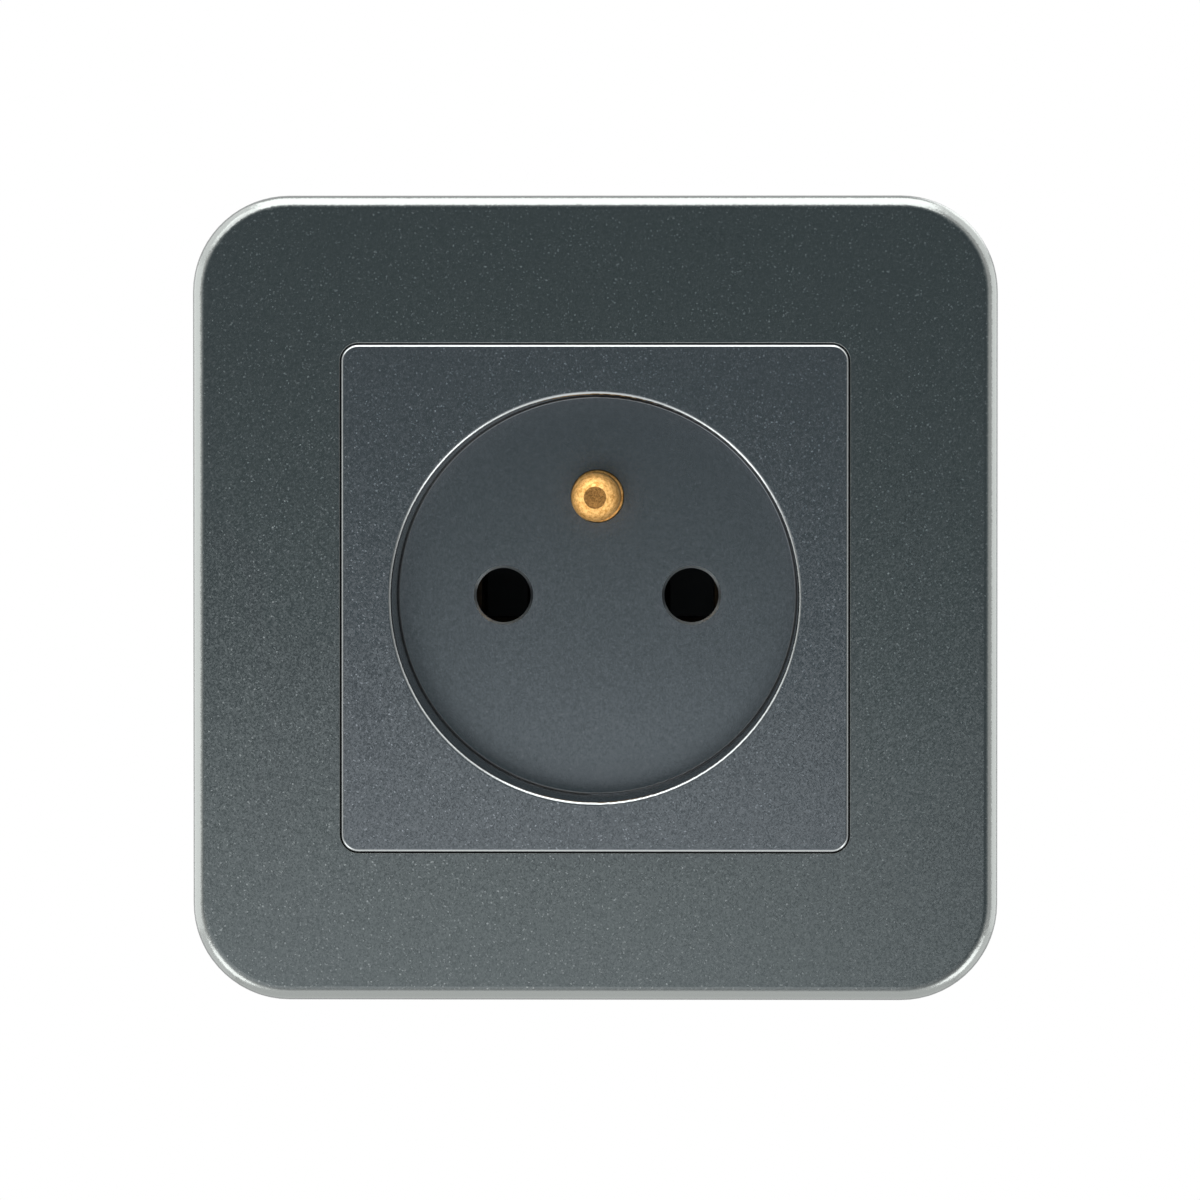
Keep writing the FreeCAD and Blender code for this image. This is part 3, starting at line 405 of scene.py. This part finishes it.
def paint_nodes():
    """Give every node its finish, and hand back those that whole slots share."""
    finishes = {"black_plastic": black_plastic(), "zinc_steel": zinc_steel(), "brass": sheet_brass()}
    for part in frame["record"]["subparts"]:
        if part["material_slot"] in finishes:
            assign(part["node"], finishes[part["material_slot"]])
    # The paler edge tones are painted highlights
    edges = (FRAME_EDGE_HIGHLIGHT, FRAME_EDGE_HIGHLIGHT)
    assign("outer_frame", anthracite_paint("outer_frame", FRAME_TONES, edges, FRAME_SKIN, wall_side=1))
    edges = (COVER_UPRIGHT_EDGE_HIGHLIGHT, COVER_LEVEL_EDGE_HIGHLIGHT)
    lip = (WELL_RADIUS + WELL_LIP, WELL_LIP, WELL_LIP, 1)
    crease = (WELL_RADIUS - WELL_BOTTOM_ROUND, WELL_DEPTH - WELL_BOTTOM_ROUND, WELL_BOTTOM_ROUND, -1)
    # The well's wall gets painted light through its gain
    cover_paint = anthracite_paint(
        "cover_plate", COVER_TONES, edges, COVER_SKIN, wall_side=-1,
        wall_painted_light=WELL_WALL_PAINTED_LIGHT, rings=(lip, crease),
    )
    assign("cover_plate", cover_paint)
    assign("earth_pin", turned_brass())
    # Near-black bronze: painted shade inside the pin holes
    bronze = shade_dark_contact_bronze()
    for side in ("left", "right"):
        assign(side + "_contact", bronze)
    return finishes


# Threaded claw screws

def ring(mesh, axis, along, radius, angles):
    """A ring of points round a screw's axis, which runs along Y."""
    places = [Vector((math.cos(angle) * radius, along, math.sin(angle) * radius)) for angle in angles]
    return [mesh.verts.new(Vector((axis.x, 0, axis.z)) + place) for place in places]


def bridge(mesh, first, second):
    """Faces between two closed rows of points."""
    for i in range(len(first)):
        following = (i + 1) % len(first)
        mesh.faces.new((first[i], first[following], second[following], second[i]))


def add_head(mesh, axis, front, radius):
    """A slotted head with the plain neck under it, which ends where the thread starts."""
    slot_angle = math.asin(SLOT_HALF_WIDTH / radius)
    span = math.pi - 2 * slot_angle
    upper = [slot_angle + span * i / HEAD_STEPS for i in range(HEAD_STEPS + 1)]
    angles = upper + [math.pi + angle for angle in upper]
    count = len(upper)
    slot_floor = front + SLOT_DEPTH
    seat = front + SCREW_HEAD_HEIGHT
    levels = (
        (slot_floor, radius),
        (seat, radius),
        (seat, SCREW_RADIUS),
        (seat + SCREW_NECK, SCREW_RADIUS),
        (seat + SCREW_NECK, CORE_RADIUS),
    )
    rings = [ring(mesh, axis, along, reach, angles) for along, reach in levels]
    for first, second in zip(rings, rings[1:]):
        bridge(mesh, first, second)
    mesh.faces.new(rings[-1])
    base = rings[0]
    mesh.faces.new((base[0], base[count - 1], base[count], base[-1]))
    for start in (0, count):
        top = ring(mesh, axis, front, radius, angles[start:start + count])
        bridge(mesh, base[start:start + count], top)
        mesh.faces.new(top)


def add_core(mesh, axis, start, end):
    """The closed core inside a thread, with a chamfer at the screw's end."""
    angles = [math.tau * i / THREAD_STEPS for i in range(THREAD_STEPS)]
    inside = CORE_RADIUS - CORE_INSET
    levels = ((start, inside), (end - THREAD_DEPTH, inside), (end, CORE_RADIUS - THREAD_DEPTH))
    rings = [ring(mesh, axis, along, reach, angles) for along, reach in levels]
    for first, second in zip(rings, rings[1:]):
        bridge(mesh, first, second)
    mesh.faces.new(rings[0])
    mesh.faces.new(rings[-1])


def add_thread(mesh, axis, start, end):
    """A helix of roots, flanks and crests, which fades out at the screw's end."""
    profile = (
        (0.0, CORE_RADIUS),
        (ROOT_END, CORE_RADIUS),
        (CREST_START, SCREW_RADIUS),
        (CREST_END, SCREW_RADIUS),
    )
    rows = []
    for step in range(int((end - start) / THREAD_PITCH * THREAD_STEPS)):
        angle = math.tau * step / THREAD_STEPS
        row = []
        for share, radius in profile:
            along = min(start + (step / THREAD_STEPS + share) * THREAD_PITCH, end)
            row += ring(mesh, axis, along, min(radius, CORE_RADIUS + end - along), [angle])
        rows.append(row)
    for step in range(len(rows) - THREAD_STEPS - 1):
        first = rows[step] + rows[step + THREAD_STEPS][:1]
        second = rows[step + 1] + rows[step + 1 + THREAD_STEPS][:1]
        for i in range(len(profile)):
            mesh.faces.new((first[i], first[i + 1], second[i + 1], second[i]))


def add_claw_screw(side, finish):
    """A claw screw with its real thread, in place of the plain one."""
    node = side + "_claw_screw"
    low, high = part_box(node)
    middle = (low + high) / 2
    thread_start = low.y + SCREW_HEAD_HEIGHT + SCREW_NECK - THREAD_PITCH
    mesh = bmesh.new()
    add_head(mesh, middle, low.y, (high.x - low.x) / 2)
    add_thread(mesh, middle, thread_start, high.y)
    add_core(mesh, middle, thread_start, high.y)
    bmesh.ops.recalc_face_normals(mesh, faces=mesh.faces)
    data = bpy.data.meshes.new(node + "_threaded")
    mesh.to_mesh(data)
    mesh.free()
    data.materials.append(finish)
    screw = bpy.data.objects.new(data.name, data)
    bpy.context.scene.collection.objects.link(screw)
    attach(screw, side + "_screw")
    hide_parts(node)


# Floor, light and camera

def pale_floor():
    """Pale finish with soft shadows near the object, white further out and clear from below."""
    grey = (0.86, 0.86, 0.86, 1)
    pale = (0.88, 0.88, 0.88, 1)
    surface = Surface("pale_floor", roughness=0.9)
    surface.drive("Base Color", surface.ramp(surface.noise(waves=3.0), grey, pale))
    path = surface.node("ShaderNodeLightPath").outputs
    seen = surface.calculate("MAXIMUM", path["Is Glossy Ray"], path["Is Transmission Ray"])
    seen = surface.calculate("MAXIMUM", seen, path["Is Camera Ray"])
    glow = surface.ramp(surface.combine("LENGTH", surface.place), FLOOR_GLOW, 1.0, FLOOR_FADE)
    white = surface.node("ShaderNodeEmission", {"Color": WHITE}).outputs["Emission"]
    upper = surface.blend(surface.product(seen, glow), surface.shader.outputs["BSDF"], white)
    is_underside = surface.node("ShaderNodeNewGeometry").outputs["Backfacing"]
    clear = surface.node("ShaderNodeBsdfTransparent").outputs["BSDF"]
    both_sides = surface.blend(is_underside, upper, clear)
    surface.feed(surface.tree.nodes["Material Output"].inputs["Surface"], both_sides)
    return surface.material


def add_floor(level):
    """A wide floor below the object."""
    bpy.ops.mesh.primitive_plane_add(size=FLOOR_SIZE, location=(0, 0, level))
    floor = bpy.context.object
    floor.name = "floor"
    floor.data.materials.append(pale_floor())


def turn_to(holder, place, aim):
    """Put a lamp or camera in its place and aim it."""
    holder.location = place
    holder.rotation_euler = (Vector(aim) - Vector(place)).to_track_quat("-Z", "Y").to_euler()


def add_panel(name, place, aim, size, brightness, receivers=None):
    """A soft lamp whose face is as bright as the number says, where 1 is white."""
    lamp = bpy.data.lights.new(name, "AREA")
    lamp.shape = "RECTANGLE"
    lamp.size, lamp.size_y = size
    lamp.energy = brightness * math.pi * lamp.size * lamp.size_y
    holder = bpy.data.objects.new(name, lamp)
    turn_to(holder, place, aim)
    holder.visible_camera = False
    if receivers:
        holder.light_linking.receiver_collection = receivers
    bpy.context.scene.collection.objects.link(holder)


def add_plain_lamps():
    """Two lamps for the whole object, one in front and one behind."""
    for name, place in (("key", (-0.5, -0.5, 0.6)), ("rear", (0.4, 0.6, 0.5))):
        add_panel(name, place, ORIGIN, PLAIN_LAMP_SIZE, PLAIN_LAMP_BRIGHTNESS)


def add_strips():
    """Lamps for the painted front alone, which draw its bright rims."""
    receivers = bpy.data.collections.new("painted_front")
    for node in STRIP_RECEIVERS:
        receivers.objects.link(frame["nodes"][node])

    def add_strip(name, place, aim, size, brightness):
        add_panel(name, place, aim, size, brightness, receivers)

    add_strip("top", place=(0, -0.15, 0.36), aim=(0, -0.15, 0), size=(0.34, 0.5), brightness=3.2)
    add_strip("left", place=(-0.42, 0, 0), aim=ORIGIN, size=(0.6, 0.34), brightness=1.45)
    add_strip("right", place=(0.42, 0.09, 0), aim=(0, 0.09, 0), size=(0.48, 0.34), brightness=1.25)
    add_strip("below", place=(0, -0.1, -0.3), aim=(0, -0.1, 0), size=(0.42, 0.6), brightness=0.6)
    corner_aim = (0, CORNER_BACK, 0)
    for side, way in (("left", -1), ("right", 1)):
        upper_corner = (CORNER_REACH * way, CORNER_BACK, CORNER_REACH)
        lower_corner = (CORNER_REACH * way, CORNER_BACK, -CORNER_REACH)
        crescent = (CRESCENT_REACH * way, -CRESCENT_AHEAD, -CRESCENT_REACH)
        add_strip("upper_" + side, upper_corner, corner_aim, CORNER_SIZE, brightness=1.15)
        add_strip("lower_" + side, lower_corner, corner_aim, CORNER_SIZE, brightness=0.85)
        add_strip("crescent_" + side, crescent, ORIGIN, CRESCENT_SIZE, brightness=3.1)
    front_place = (-0.085, -0.42, -0.125)
    add_strip("front", front_place, aim=(0, 0, -0.03), size=(0.3, 0.2), brightness=1.05)


def light_world():
    """White to the eye and in reflections, but for the dimmer room in front, over a plain ambient."""
    world = bpy.data.worlds.new("studio")
    bpy.context.scene.world = world
    world.use_nodes = True
    nodes = Nodes(world.node_tree)
    path = nodes.node("ShaderNodeLightPath").outputs
    direction = nodes.node("ShaderNodeTexCoord").outputs["Generated"]
    room = nodes.ramp(nodes.part(direction, "Y"), FRONT_ROOM, WHITE, FRONT_SPAN)
    mirrored = nodes.calculate("MAXIMUM", path["Is Glossy Ray"], path["Is Transmission Ray"])
    colour = nodes.mix(path["Is Camera Ray"], nodes.mix(mirrored, AMBIENT, room), WHITE)
    nodes.feed(world.node_tree.nodes["Background"].inputs["Color"], colour)


def add_camera():
    """The camera of the photograph."""
    data = bpy.data.cameras.new("camera")
    data.lens = CAMERA_LENS
    data.clip_start = CAMERA_CLIP
    camera = bpy.data.objects.new("camera", data)
    turn_to(camera, CAMERA_PLACE, CAMERA_AIM)
    bpy.context.scene.collection.objects.link(camera)
    bpy.context.scene.camera = camera


with open("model.json") as file:
    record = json.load(file)
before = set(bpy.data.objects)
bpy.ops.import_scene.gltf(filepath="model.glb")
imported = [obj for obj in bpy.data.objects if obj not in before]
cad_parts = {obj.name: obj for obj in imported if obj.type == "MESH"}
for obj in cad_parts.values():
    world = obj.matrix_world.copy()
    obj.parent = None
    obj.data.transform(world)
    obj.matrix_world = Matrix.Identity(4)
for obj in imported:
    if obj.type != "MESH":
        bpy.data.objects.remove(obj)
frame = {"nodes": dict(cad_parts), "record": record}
cad_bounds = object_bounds()
bpy.context.scene.view_settings.view_transform = "Standard"
finish_by_slot = paint_nodes()
for claw_side in ("upper", "lower"):
    add_claw_screw(claw_side, finish_by_slot["zinc_steel"])
add_floor(cad_bounds[0].z - FLOOR_DROP)
light_world()
add_plain_lamps()
add_strips()
add_camera()
